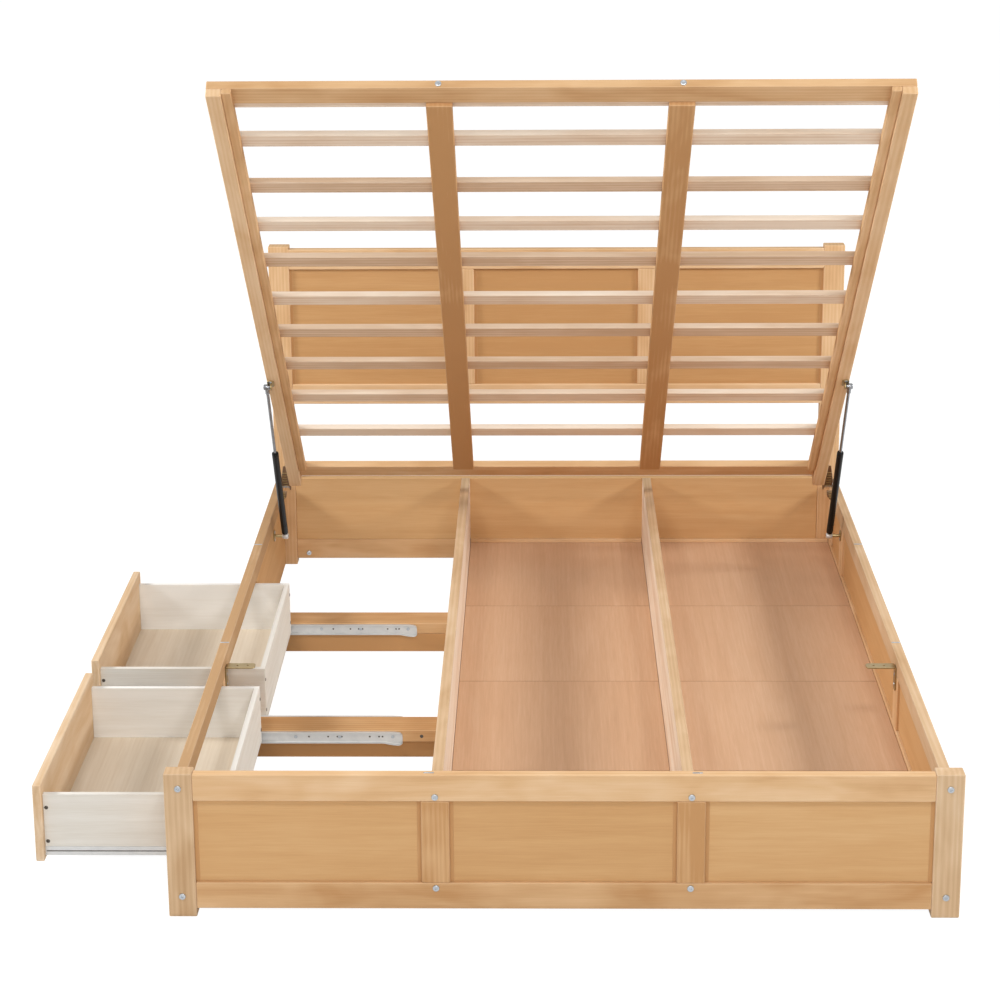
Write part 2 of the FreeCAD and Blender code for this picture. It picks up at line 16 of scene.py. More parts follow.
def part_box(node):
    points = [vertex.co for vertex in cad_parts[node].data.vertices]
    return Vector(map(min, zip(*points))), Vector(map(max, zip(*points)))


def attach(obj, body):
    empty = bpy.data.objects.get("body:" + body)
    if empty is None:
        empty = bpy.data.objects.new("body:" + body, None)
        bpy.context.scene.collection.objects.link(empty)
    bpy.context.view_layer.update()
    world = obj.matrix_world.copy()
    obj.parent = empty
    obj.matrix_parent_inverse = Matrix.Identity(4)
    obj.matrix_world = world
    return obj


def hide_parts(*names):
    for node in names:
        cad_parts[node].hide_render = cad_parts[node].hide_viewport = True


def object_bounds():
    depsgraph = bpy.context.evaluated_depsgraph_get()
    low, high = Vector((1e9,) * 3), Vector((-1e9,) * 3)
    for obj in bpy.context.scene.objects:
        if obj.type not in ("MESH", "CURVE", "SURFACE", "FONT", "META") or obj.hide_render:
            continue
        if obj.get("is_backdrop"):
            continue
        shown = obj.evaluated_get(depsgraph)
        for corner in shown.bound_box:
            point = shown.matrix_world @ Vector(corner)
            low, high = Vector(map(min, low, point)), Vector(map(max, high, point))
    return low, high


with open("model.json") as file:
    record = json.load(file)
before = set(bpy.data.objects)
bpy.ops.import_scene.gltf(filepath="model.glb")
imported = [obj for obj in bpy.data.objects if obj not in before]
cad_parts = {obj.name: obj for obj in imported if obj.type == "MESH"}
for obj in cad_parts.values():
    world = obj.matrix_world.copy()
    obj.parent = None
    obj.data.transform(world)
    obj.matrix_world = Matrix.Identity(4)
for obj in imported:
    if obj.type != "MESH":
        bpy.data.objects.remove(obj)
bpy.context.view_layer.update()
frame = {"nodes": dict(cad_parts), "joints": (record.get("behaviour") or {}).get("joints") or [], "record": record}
scene = bpy.context.scene
scene.view_settings.view_transform = "Standard"
slots = {row["node"]: row["material_slot"] for row in frame["record"]["subparts"]}
joints = {row["name"]: row for row in frame["joints"]}
body_of = {node: body for body, nodes in frame["record"]["behaviour"]["bodies"].items() for node in nodes}
dice = random.Random(7)

# %% [markdown]
# ## A shorthand for shader maths
# A shader is a web of small nodes, and wiring it by hand hides the idea behind it. `Wire` wraps one
# socket, so that `0.5 + 0.3 * streaks` adds the Math nodes by itself. `Web.add` makes any other node from
# its type, what goes into its sockets and its settings.

# %% Wire and Finish
def srgb(red, green, blue):
    """A colour as read on a screen, 0 to 255, as the linear colour that a shader needs."""
    levels = [value / 255 for value in (red, green, blue)]
    return [v / 12.92 if v <= 0.04045 else ((v + 0.055) / 1.055) ** 2.4 for v in levels] + [1.0]


def socket_named(sockets, key):
    for socket in sockets:
        if socket.identifier == key:
            return socket
    return next(socket for socket in sockets if socket.name == key and socket.enabled)


class Wire:
    """One output socket. Arithmetic on it adds Math nodes."""
    def __init__(self, web, socket):
        self.web, self.socket = web, socket

    def math(self, operation, first, second):
        return self.web.add("ShaderNodeMath", {0: first, 1: second}, operation=operation)

    def __add__(self, other):
        return self.math("ADD", self, other)

    def __sub__(self, other):
        return self.math("SUBTRACT", self, other)

    def __rsub__(self, other):
        return self.math("SUBTRACT", other, self)

    def __mul__(self, other):
        return self.math("MULTIPLY", self, other)

    __radd__ = __add__
    __rmul__ = __mul__


class Web:
    """A node tree under construction."""
    def feed(self, socket, value):
        if isinstance(value, Wire):
            self.tree.links.new(value.socket, socket)
        else:
            socket.default_value = value

    def add(self, kind, sockets=None, output=0, **settings):
        node = self.tree.nodes.new(kind)
        for key, value in settings.items():
            if key == "stops":
                ramp = node.color_ramp.elements
                while len(ramp) < len(value):
                    ramp.new(0.5)
                for element, (place, colour) in zip(ramp, value):
                    element.position, element.color = place, colour
            else:
                setattr(node, key, value)
        for key, value in (sockets or {}).items():
            socket = node.inputs[key] if isinstance(key, int) else socket_named(node.inputs, key)
            self.feed(socket, value)
        found = node.outputs[output] if isinstance(output, int) else socket_named(node.outputs, output)
        return Wire(self, found)


class Finish(Web):
    """A material under construction."""
    def __init__(self, name):
        self.material = bpy.data.materials.new(name)
        self.material.use_nodes = True
        self.tree = self.material.node_tree
        self.shader = self.tree.nodes["Principled BSDF"]

    def stretch(self, vector, factors):
        return self.add("ShaderNodeVectorMath", {0: vector, 1: factors}, operation="MULTIPLY")

    def noise(self, vector, rate, detail=2.0, distortion=0.0):
        return self.add("ShaderNodeTexNoise", {"Vector": self.stretch(vector, rate), "Scale": 1.0,
                                               "Detail": detail, "Distortion": distortion})

    def blend(self, factor, first, second):
        return self.add("ShaderNodeMix", {"Factor_Float": factor, "A_Color": first, "B_Color": second},
                        "Result_Color", data_type="RGBA")

    def bump(self, height, strength, distance):
        return self.add("ShaderNodeBump", {"Height": height, "Strength": strength, "Distance": distance})

    def surface(self, **sockets):
        for key, value in sockets.items():
            self.feed(self.shader.inputs[key.replace("_", " ").title()], value)
        return self.material


print("shader shorthand ready")

# %% [markdown]
# ## Wood
# Lacquered solid wood shows broad streaks along the board, fine fibres, and slow changes from one board
# to the next. One pattern for the whole bed would run across the joints, so each board will carry its
# own coordinates in an attribute called `grain`: metres along the fibre, across it and through it. The
# same recipe with other colours and strengths gives veneer, laminate and bare slats.

# %% Wood finishes
# Repeats in a metre along the fibre, across it and through it
streak_rate, fibre_rate = (2.2, 60.0, 60.0), (16.0, 620.0, 620.0)
drift_rate, band_rate = (5.0, 13.0, 13.0), (0.9, 30.0, 30.0)
band_warp, band_waver = 11.0, 0.35
satin_rough, satin_gleam, fibre_rough = 0.74, 0.1, 0.16
pore_strength, pore_depth, streak_relief = 0.06, 0.0005, 0.6


def wood(name, dark, middle, light, streak=0.5, figure=0.3, fibre=0.25, drift=0.35, spread=0.3,
         edge_wear_and_highlight=0.25, rim=None):
    finish = Finish(name)
    finish.shader.inputs["Specular IOR Level"].default_value = satin_gleam
    sources = (("grain", "Vector"), ("tone", "Fac"), ("edge", "Fac"))
    grain, tone, edge = (finish.add("ShaderNodeAttribute", None, output, attribute_name=name)
                         for name, output in sources)
    streaks = finish.noise(grain, streak_rate, detail=4.0, distortion=0.6)
    fibres = finish.noise(grain, fibre_rate)
    drifts = finish.noise(grain, drift_rate, distortion=0.6)
    bands = finish.add("ShaderNodeTexWave", {"Vector": finish.stretch(grain, band_rate), "Scale": 1.0,
                                             "Distortion": band_warp, "Detail": 2.0,
                                             "Detail Scale": band_waver}, "Fac", bands_direction="Y")
    mixed = (0.5 + streak * (streaks - 0.5) + figure * (bands - 0.5) + fibre * (fibres - 0.5)
             + drift * (drifts - 0.5) + spread * tone)
    stops = [(0.2, srgb(*dark)), (0.5, srgb(*middle)), (0.8, srgb(*light))]
    colour = finish.add("ShaderNodeValToRGB", {"Fac": mixed}, "Color", stops=stops)
    # Eased edges blend toward the rim colour: partly wear and partly painted highlight; the floor's dark rim marks
    # its joints
    colour = finish.blend(edge_wear_and_highlight * edge, colour, srgb(*(rim or light)))
    return finish.surface(base_color=colour, roughness=satin_rough + fibre_rough * (fibres - 0.5),
                          normal=finish.bump(fibres + streak_relief * streaks, pore_strength, pore_depth))


solid = {"streak": 0.2, "figure": 0.1, "fibre": 0.2, "drift": 0.6}
laminate = {"streak": 0.5, "figure": 0.06, "fibre": 0.3, "drift": 0.2}
woods = {
    "frame_wood": wood("honey_lacquered_wood", (191, 145, 98), (215, 176, 132), (231, 200, 163), **solid),
    "pale_wood": wood("pale_honey_wood", (185, 149, 110), (209, 178, 142), (225, 202, 174), **solid),
    "panel_wood": wood("honey_veneer", (192, 146, 97), (205, 162, 113), (216, 178, 131), streak=0.35,
                       figure=0.06, fibre=0.3, drift=0.2, spread=0.15),
    "floor_board": wood("rose_floor_laminate", (199, 159, 127), (211, 173, 140), (222, 188, 158), streak=0.4,
                        figure=0.04, fibre=0.4, drift=0.12, spread=0.1, edge_wear_and_highlight=0.7, rim=(140, 98, 70)),
    "slat_wood": wood("pale_planed_slats", (204, 173, 143), (223, 198, 173), (236, 219, 200), streak=0.55,
                      figure=0.2, drift=0.5),
    "drawer_board": wood("cream_drawer_laminate", (208, 201, 189), (222, 218, 210), (232, 230, 225),
                         spread=0.15, **laminate),
    "drawer_base": wood("tan_drawer_base", (203, 185, 162), (215, 201, 181), (225, 213, 196), spread=0.1,
                        **laminate),
}
print("wood finishes:", ", ".join(woods))

# %% [markdown]
# ## Metals and plastic
# Zinc-plated steel is never even: it has faint clouds and brushed lines. Black enamel has a fine orange
# peel. These finishes read Object coordinates, because their patterns follow no fibre.

# %% Metal and plastic finishes
cloud_rate, peel_rate = (60.0, 60.0, 60.0), (900.0, 900.0, 900.0)
cloud_rough, peel_strength, peel_depth = 0.18, 0.05, 0.0003


def metal(name, dark, light, rough, metallic=1.0, gleam=0.5):
    finish = Finish(name)
    finish.shader.inputs["Specular IOR Level"].default_value = gleam
    here = finish.add("ShaderNodeTexCoord", None, "Object")
    cloud = finish.noise(here, cloud_rate, detail=3.0)
    peel = finish.noise(here, peel_rate)
    return finish.surface(base_color=finish.blend(cloud, srgb(*dark), srgb(*light)), metallic=metallic,
                          roughness=rough + cloud_rough * (cloud - 0.5),
                          normal=finish.bump(peel, peel_strength, peel_depth))


metals = {
    # This dark steel also serves for painted shade behind the slide holes and in the runner grooves
    "dark_steel": metal("blackened_screws", (70, 65, 60), (106, 98, 90), 0.42, 0.7),
    "bolt_steel": metal("zinc_plated_bolts", (150, 155, 160), (205, 209, 213), 0.34),
    "slide_steel": metal("white_zinc_slides", (192, 193, 193), (217, 217, 215), 0.4, 0.35),
    "roller_nylon": metal("moulded_nylon", (206, 206, 202), (226, 226, 222), 0.5, 0.0),
    "strut_black": metal("black_enamel", (12, 11, 11), (22, 20, 20), 0.36, 0.0, gleam=0.2),
    "rod_chrome": metal("ground_chrome", (112, 113, 116), (156, 158, 161), 0.24),
    "hinge_bronze": metal("bronze_plated_steel", (96, 74, 55), (150, 122, 94), 0.38, 0.85),
    "bracket_brass": metal("yellow_zinc_plate", (140, 120, 82), (186, 166, 122), 0.36, 0.85),
}
finishes = {**woods, **metals}
print("metal and plastic finishes:", ", ".join(metals))

# %% [markdown]
# ## Boards from the frame's solids
# A CAD node may hold several boards. Its mesh is loose triangles, so a copy is merged and walked to find
# its separate islands. Each island's box, read in the frame that the board was laid out in, gives the
# board's true size and place. A Bevel modifier would do for the edges, but bmesh lets us also mark
# which points lie on the eased edge, where the colour is lighter: partly wear, partly painted highlight.

# %% Find the islands of a node
def islands(node, turn=Matrix()):
    """The lowest and highest corner of each separate solid of a node, in a turned frame."""
    mesh = bmesh.new()
    mesh.from_mesh(frame["nodes"][node].data)
    bmesh.ops.remove_doubles(mesh, verts=mesh.verts, dist=1e-6)
    back = turn.inverted()
    seen, boxes = set(), []
    for start in mesh.verts:
        if start in seen:
            continue
        seen.add(start)
        reached, waiting = [], [start]
        while waiting:
            point = waiting.pop()
            reached.append(back @ point.co)
            for edge in point.link_edges:
                other = edge.other_vert(point)
                if other not in seen:
                    seen.add(other)
                    waiting.append(other)
        boxes.append((Vector(map(min, *reached)), Vector(map(max, *reached))))
    mesh.free()
    return boxes


lid_joint = joints["lid_lift"]
hinge = Vector(lid_joint["pos_m"])
lid_angle = math.radians(-lid_joint["range_deg"][0])
LID = Matrix.Translation(hinge) @ Matrix.Rotation(-lid_angle, 4, "X")
print("the lid stands open by", round(math.degrees(lid_angle), 1), "degrees")

# %% Make the boards
AXES = {"x": (0, 1, 2), "y": (1, 0, 2), "z": (2, 0, 1)}
EASE = {"rail": 0.0025, "plank": 0.0022, "batten": 0.002, "trim": 0.0015, "web": 0.001, "floor": 0.001,
        "laminate": 0.0008, "veneer": 0.0005, "bead": 0.0004, "base": 0.0003}
GRAIN_REACH = (40.0, 9.0, 9.0)
CHANCE = 0.3
FLAT = 0.999


def mm(*values):
    """Millimetres, or rows of them, in metres."""
    return [mm(*value) if isinstance(value, tuple) else value / 1000 for value in values]


def at(x, y, z):
    return Vector((x, y, z))


def skin(mesh, rings, turn=Matrix()):
    """Join rings with quads and close the two ends."""
    rows = [[mesh.verts.new(turn @ point) for point in points] for points in rings]
    mesh.faces.new(rows[0][::-1])
    mesh.faces.new(rows[-1])
    for lower, upper in zip(rows, rows[1:]):
        for index in range(len(lower)):
            after = (index + 1) % len(lower)
            mesh.faces.new((lower[index], lower[after], upper[after], upper[index]))


def add_board(mesh, low, high, ease, turn=Matrix(), fibre=None, lift=0.0, notch=None):
    """One board with eased edges, its own grain and tone, and perhaps a notch at its upper foot end."""
    size, middle = high - low, (low + high) / 2
    along = fibre or "xyz"[max(range(3), key=lambda axis: size[axis])]
    outline = [(low.y, low.z), (high.y, low.z), (high.y, high.z)]
    outline += [(notch[0], high.z), notch, (low.y, notch[1])] if notch else [(low.y, high.z)]
    before = set(mesh.verts)
    skin(mesh, [[at(x, y, z) for y, z in outline] for x in (low.x, high.x)])
    edges = list({edge for vert in mesh.verts if vert not in before for edge in vert.link_edges})
    bmesh.ops.bevel(mesh, geom=edges, offset=ease, segments=3, profile=0.5, affect="EDGES")
    points = [vert for vert in mesh.verts if vert not in before]
    layers = mesh.verts.layers
    grain, tone, edge = layers.float_vector["grain"], layers.float["tone"], layers.float["edge"]
    start = Vector([dice.uniform(0, reach) for reach in GRAIN_REACH])
    shade = lift + dice.uniform(-CHANCE, CHANCE)
    for face in {face for vert in points for face in vert.link_faces}:
        face.normal_update()
        face.smooth = max(map(abs, face.normal)) < FLAT
    for vert in points:
        vert[grain] = Vector([(vert.co - middle)[axis] for axis in AXES[along]]) + start
        vert[tone], vert[edge] = shade, float(all(face.smooth for face in vert.link_faces))
        vert.co = turn @ vert.co


def new_board_mesh():
    mesh = bmesh.new()
    mesh.verts.layers.float_vector.new("grain")
    mesh.verts.layers.float.new("tone")
    mesh.verts.layers.float.new("edge")
    return mesh


def plain(name, mesh):
    """A bmesh as a plain mesh; the bmesh is freed."""
    data = bpy.data.meshes.new(name)
    mesh.to_mesh(data)
    mesh.free()
    return data


def keep(name, mesh, *rest, **more):
    return keep_mesh(name, plain(name, mesh), *rest, **more)


def keep_mesh(name, data, finish, node=None, body="bed_frame"):
    """Make a mesh a finished piece, riding on the body of the CAD node it stands for, if there is one."""
    data.materials.clear()
    data.materials.append(finishes[finish])
    piece = bpy.data.objects.new(name, data)
    scene.collection.objects.link(piece)
    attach(piece, body_of.get(node, body))
    if node:
        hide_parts(node)
    return piece


def boards(node, ease="rail", turn=Matrix(), fibre=None, finish=None, notch=None):
    """Rebuild each solid of a node as a board, and return how many there are."""
    mesh = new_board_mesh()
    found = sorted(islands(node, turn), key=lambda box: tuple(box[0]))
    own = lifts.get(node, (0.0,))
    for index, (low, high) in enumerate(found):
        add_board(mesh, low, high, EASE[ease], turn, fibre, own[index % len(own)], notch)
    keep(node + "_boards", mesh, finish or slots[node], node)
    return len(found)


print("board maker ready")

# %% [markdown]
# ## Light and dark boards
# Boards from one batch still differ: a rail cut near the bark is paler than its neighbour. Chance alone
# would put the pale boards in the wrong places, so the boards that stand out are listed here, and only
# a little chance is left for the rest. A node with two numbers has its boards lifted in turn. For the
# drawer sides this is painted light: the far side is lifted so that its shaded inner face shows bright.

# %% Lifts
lifts = {
    "footboard_top_rail": (0.1,), "footboard_bottom_rail": (-0.3,), "footboard_stiles": (-0.9,),
    "footboard_left_post": (-0.2,), "footboard_right_post": (-0.1,), "left_side_rail": (-0.8,),
    "headboard_panels": (-1.5,), "headboard_apron": (0.5,), "lid_foot_rail": (-0.5,),
    "lid_side_rails": (0.35,), "lid_bearers": (-0.9,), "front_drawer_front": (0.4,),
    # The far drawer side's lift of 1.6 is painted light on its shaded inner face
    "rear_drawer_front": (0.4,), "front_drawer_sides": (-0.6, 1.6), "rear_drawer_sides": (-0.6, 1.6),
}
print("boards with their own lift:", len(lifts))

# %% [markdown]
# ## The fixed frame
# Posts, rails and stiles are solid wood with well-eased edges. The panels between them are thin veneer,
# and the storage floor is laminate with nearly sharp edges.

# %% Posts, rails, panels and floor
pale_nodes = ["footboard_left_post", "footboard_right_post", "left_side_rail", "right_side_rail"]
solid_nodes = [
    "footboard_top_rail", "footboard_bottom_rail", "footboard_stiles", "headboard_left_post",
    "headboard_right_post", "headboard_top_rail", "headboard_middle_rail", "headboard_bottom_rail",
    "headboard_stiles", "left_side_stiles", "right_bottom_rail", "right_side_stiles", "floor_ledgers",
]
count = sum(boards(node, finish="pale_wood") for node in pale_nodes)
count += sum(boards(node) for node in solid_nodes) + boards("headboard_apron", finish="panel_wood")
thin_nodes = ["footboard_panels", "headboard_panels", "right_side_panels"]
count += sum(boards(node, "veneer") for node in thin_nodes)
count += boards("left_end_panel")
count += boards("floor_panels", "floor", fibre="y")
print("fixed boards:", count)

# %% [markdown]
# ## Dividers
# Each long divider is a board with a strip of the frame's wood glued along its top as a lipping, and
# the joint shows as a fine line. The board is pale slat wood with a raised tone, as painted light on its
# lit side faces. One box with a painted line would lose it in close views, so the board
# and its lipping are two boards, and their eased edges make the line.

# %% Dividers and their lippings
# The core's pale wood and raised tone are painted light on the dividers' lit side faces
lipping, core_painted_light, top_lift = 0.006, 0.6, -0.5
cores, tops = new_board_mesh(), new_board_mesh()
boxes = islands("dividers")
for low, high in boxes:
    step = high.z - lipping
    add_board(cores, low, at(high.x, high.y, step), EASE["plank"], lift=core_painted_light)
    add_board(tops, at(low.x, low.y, step), high, EASE["plank"], lift=top_lift)
keep("divider_boards", cores, "slat_wood", "dividers")
keep("divider_lippings", tops, "pale_wood")
print("dividers:", len(boxes), "lipped", lipping, "m deep")

# %% [markdown]
# ## Dark beads beside the panels, as painted shade
# Where a panel meets its stile, the recess shows a dark line of shade. A thin bead of darkened wood is
# set there as painted shade. A groove in the panel would do too, and the bead is one more small board.

# %% Painted shade beads beside the panels
# The beads' low tone is painted shade at the panel recesses
count, bead_painted_shade = 0, -1.5
bead, bead_proud, bead_sunk = mm(8, 1.2, 0.8)
for name in ("footboard", "headboard"):
    mesh = new_board_mesh()
    for low, high in islands(name + "_panels"):
        for left in (low.x, high.x - bead):
            start = at(left, low.y - bead_proud, low.z)
            end = at(left + bead, low.y + bead_sunk, high.z)
            add_board(mesh, start, end, EASE["bead"], fibre="z", lift=bead_painted_shade)
            count += 1
    keep(name + "_panel_beads", mesh, "frame_wood")
print("panel beads:", count)

# %% [markdown]
# ## Cross rails
# A cross rail carries the drawer slides: a flat batten lies on an upright web that stands a little back.
# The solid model has the two as one bar, and here they are two boards, so that the step has its shadow.

# %% Cross rails
# The web's lowered tone is painted shade under the batten
batten_height, web_thickness, batten_lift, web_painted_shade = 0.029, 0.030, -0.6, -1.5
web_shares = {"front_cross_rail": 1.0, "middle_cross_rail": 0.5, "rear_cross_rail": 0.0}
for node, share in web_shares.items():
    low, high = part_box(node)
    web = low.y + (high.y - low.y - web_thickness) * share
    step = high.z - batten_height
    mesh = new_board_mesh()
    add_board(mesh, at(low.x, low.y, step), high, EASE["batten"], lift=batten_lift)
    end = at(high.x, web + web_thickness, step)
    add_board(mesh, at(low.x, web, low.z), end, EASE["web"], lift=web_painted_shade)
    keep(node + "_boards", mesh, slots[node], node)
print("cross rails:", len(web_shares), "each a batten on a web")

# %% [markdown]
# ## Drawers
# A drawer is a wooden front on a box of cream laminate, with a thin tan base. The laminate is cut with
# nearly sharp edges, so the same board maker is used with a smaller ease.

# %% Drawers
DRAWERS = ("front", "rear")
for name in DRAWERS:
    count = boards(f"{name}_drawer_front", finish="pale_wood")
    count += sum(boards(f"{name}_drawer_{piece}", "laminate") for piece in ("sides", "back"))
    count += boards(f"{name}_drawer_bottom", "base", finish="drawer_base")
    print(name, "drawer boards:", count)

# %% [markdown]
# ## Lid frame
# The lid is modelled open, but its boards were cut square, so each is laid out flat and then turned about
# the hinge line. The side rails and ledgers are notched, and the foot rail lies in the notches.

# %% Lid frame
count = sum(boards(node, "plank", LID) for node in ("lid_foot_rail", "lid_head_rail", "lid_bearers"))
foot_low, foot_high = islands("lid_foot_rail", LID)[0]
for node in ("lid_side_rails", "lid_ledgers"):
    count += boards(node, "plank", LID, notch=(foot_high.y, foot_low.z))
print("lid boards:", count, "of which 4 are notched to let the foot rail lie across them")

# %% [markdown]
# ## What repeats: slats, bolts and screws
# Nine slats, and bolts and screws by the dozen, are the same shape over and over. Copying objects would
# work, but Geometry Nodes can set one template at every point of a small mesh, turn it to face the way
# that the point says, spin it a little, and give each copy its own grain and tone. The tree ends in
# real geometry, and the result is kept as a plain mesh.

# %% A tree that sets a template at points
class Growth(Web):
    """A Geometry Nodes tree under construction, with named inputs."""
    def __init__(self, name, **inputs):
        self.tree = bpy.data.node_groups.new(name, "GeometryNodeTree")
        face = self.tree.interface
        for way in ("INPUT", "OUTPUT"):
            face.new_socket("Geometry", in_out=way, socket_type="NodeSocketGeometry")
        self.keys = {}
        for key, kind in inputs.items():
            made = face.new_socket(key, in_out="INPUT", socket_type="NodeSocket" + kind)
            self.keys[key] = made.identifier
        self.start = self.tree.nodes.new("NodeGroupInput")
        self.end = self.tree.nodes.new("NodeGroupOutput")

    def given(self, key):
        return Wire(self, socket_named(self.start.outputs, key))

    def model(self, key):
        return self.add("GeometryNodeObjectInfo", {"Object": self.given(key)}, "Geometry")

    def store(self, geometry, name, kind, value):
        return self.add("GeometryNodeStoreNamedAttribute",
                        {"Geometry": geometry, "Name": name, "Value": value}, data_type=kind, domain="POINT")

    def read(self, name, kind="FLOAT_VECTOR"):
        return self.add("GeometryNodeInputNamedAttribute", {"Name": name}, "Attribute", data_type=kind)

    def set_out(self, points, model, spin=None):
        """A copy of a model at each point, facing the way that the point says, as real geometry."""
        facing = self.add("FunctionNodeAlignRotationToVector", {"Vector": self.read("facing")}, axis="Z")
        if spin:
            facing = self.add("FunctionNodeRotateRotation", {0: facing, 1: spin}, rotation_space="LOCAL")
        copies = self.add("GeometryNodeInstanceOnPoints",
                          {"Points": points, "Instance": model, "Rotation": facing})
        return self.add("GeometryNodeRealizeInstances", {"Geometry": copies})

    def end_with(self, geometry):
        dressed = self.add("GeometryNodeSetMaterial",
                           {"Geometry": geometry, "Material": self.given("Finish")})
        self.tree.links.new(dressed.socket, self.end.inputs[0])

    def bake(self, name, mesh, turn=Matrix(), **values):
        """Run the tree on a mesh and return the result as a plain mesh."""
        carrier = bpy.data.objects.new(name, mesh)
        scene.collection.objects.link(carrier)
        modifier = carrier.modifiers.new(name, "NODES")
        modifier.node_group = self.tree
        for key, value in values.items():
            modifier[self.keys[key]] = value
        shown = carrier.evaluated_get(bpy.context.evaluated_depsgraph_get())
        data = bpy.data.meshes.new_from_object(shown)
        carrier.modifiers.clear()
        bpy.data.objects.remove(carrier)
        data.transform(turn)
        return data


repeat = Growth("repeat_template", Template="Object", Spin="Float", Shade="Float", Seed="Int",
                Finish="Material")
draw = {"ID": repeat.add("GeometryNodeInputIndex"), "Seed": repeat.given("Seed")}
jump = repeat.add("FunctionNodeRandomValue", {"Max": GRAIN_REACH, **draw}, "Value", data_type="FLOAT_VECTOR")
shade = repeat.add("FunctionNodeRandomValue", {"Min_001": -1.0, "Max_001": 1.0, **draw}, "Value_001",
                   data_type="FLOAT")
points = repeat.store(repeat.given("Geometry"), "jump", "FLOAT_VECTOR", jump)
points = repeat.store(points, "shade", "FLOAT", shade * repeat.given("Shade"))
spin = repeat.add("FunctionNodeAxisAngleToRotation", {"Angle": shade * repeat.given("Spin")})
real = repeat.set_out(points, repeat.model("Template"), spin)
moved = repeat.add("ShaderNodeVectorMath", {0: repeat.read("grain"), 1: repeat.read("jump")}, operation="ADD")
real = repeat.store(real, "grain", "FLOAT_VECTOR", moved)
repeat.end_with(repeat.store(real, "tone", "FLOAT", repeat.read("shade", "FLOAT")))
print("repeat tree:", len(repeat.tree.nodes), "nodes")


# %% Set a template at places
def places(name, spots):
    """A mesh of loose points, each with the direction that its copy faces."""
    mesh = bpy.data.meshes.new(name)
    mesh.from_pydata([spot for spot, way in spots], [], [])
    facing = mesh.attributes.new("facing", "FLOAT_VECTOR", "POINT")
    facing.data.foreach_set("vector", [part for spot, way in spots for part in way])
    return mesh


def set_copies(name, spots, template, finish, *rest, spin=3.14, shade=CHANCE, seed=1, turn=Matrix(), **more):
    data = repeat.bake(name, places(name + "_places", spots), turn, Template=template, Spin=spin, Shade=shade,
                       Seed=seed, Finish=finishes[finish])
    keep_mesh(name, data, finish, *rest, **more)


def template(name, mesh):
    return bpy.data.objects.new(name, plain(name, mesh))


print("copies are set by the tree", repeat.tree.name)

# %% [markdown]
# ## Slats
# Nine pale slats lie across the lid, with a narrow batten behind the foot rail. All nine are one template
# set along the lid by the tree, each with its own grain and shade, as boards from one pile have.

# %% Slats
slat_boxes = sorted(islands("lid_slats", LID), key=lambda box: box[0].y)
mesh = new_board_mesh()
add_board(mesh, *slat_boxes.pop(0), EASE["plank"], LID)
keep("lid_foot_batten", mesh, "slat_wood", body="lid")
size = slat_boxes[0][1] - slat_boxes[0][0]
mesh = new_board_mesh()
add_board(mesh, -size / 2, size / 2, EASE["plank"])
slat = template("slat_template", mesh)
spots = [((low + high) / 2, (0, 0, 1)) for low, high in slat_boxes]
set_copies("lid_slat_row", spots, slat, "slat_wood", "lid_slats", spin=0.0, shade=1.0, seed=4, turn=LID)
print("slats:", len(spots), "of", [round(v, 3) for v in size], "and a narrow batten behind the foot rail")

# %% [markdown]
# ## Turned and pressed metal
# A bolt head, a strut barrel and a hinge knuckle are turned shapes: a list of rings, skinned with quads.
# A plate is the same thing with rounded rectangles for rings. Primitive cylinders would be quicker, but
# they have no eased rims, and it is the rims that catch the light on metal.

# %% Rings, plates and strips
def ring(reach, height, sides=24):
    """A ring of points; reach is a radius, or a function of the angle."""
    angles = [math.tau * index / sides for index in range(sides)]
    reaches = [reach(angle) if callable(reach) else reach for angle in angles]
    return [at(far * math.cos(angle), far * math.sin(angle), height)
            for far, angle in zip(reaches, angles)]


def hexagon(radius):
    return lambda angle: radius * math.cos(math.pi / 6) / math.cos(angle % (math.pi / 3) - math.pi / 6)


def cross(reach, width):
    def edge(angle):
        lean = (angle + math.pi / 4) % (math.pi / 2) - math.pi / 4
        return min(reach / math.cos(lean), width / max(abs(math.sin(lean)), 1e-6))
    return edge


def turned(mesh, profile, turn=Matrix(), sides=32):
    skin(mesh, [ring(radius, height, sides) for radius, height in profile], turn)


def rounded(width, height, corner, level, steps=5):
    """A rounded rectangle as a ring of points."""
    points = []
    for quarter, (right, up) in enumerate(((1, 1), (-1, 1), (-1, -1), (1, -1))):
        centre = at(right * (width / 2 - corner), up * (height / 2 - corner), level)
        for step in range(steps + 1):
            angle = (quarter + step / steps) * math.pi / 2
            points.append(centre + corner * at(math.cos(angle), math.sin(angle), 0))
    return points


def plate(mesh, width, height, thickness, corner, turn, ease=0.0005):
    stages = ((ease, 0), (0, ease), (0, thickness - ease), (ease, thickness))
    rings = [rounded(width - 2 * cut, height - 2 * cut, corner - cut, level) for cut, level in stages]
    skin(mesh, rings, turn)


def fin(mesh, outline, thickness, turn):
    """A flat sheet with any convex outline and slightly eased rims."""
    middle = sum((Vector(point) for point in outline), Vector((0, 0))) / len(outline)
    rim, ease = 0.95, thickness * 0.2
    rings = []
    for share, level in ((rim, 0), (1, ease), (1, thickness - ease), (rim, thickness)):
        rings.append([(middle + share * (Vector(point) - middle)).to_3d() + at(0, 0, level)
                      for point in outline])
    skin(mesh, rings, turn)


def stand(place, out, up=(0, 0, 1)):
    """A matrix whose Z axis points out of a face, with its Y axis near the given direction."""
    z = Vector(out).normalized()
    x = Vector(up).cross(z).normalized()
    return Matrix.Translation(place) @ Matrix((x, z.cross(x), z)).transposed().to_4x4()


def keep_metal(name, mesh, *rest, **more):
    """Close up a metal mesh, shade it round with crisp rims, and keep it."""
    bmesh.ops.recalc_face_normals(mesh, faces=mesh.faces)
    crisp(keep(name, mesh, *rest, **more).data)


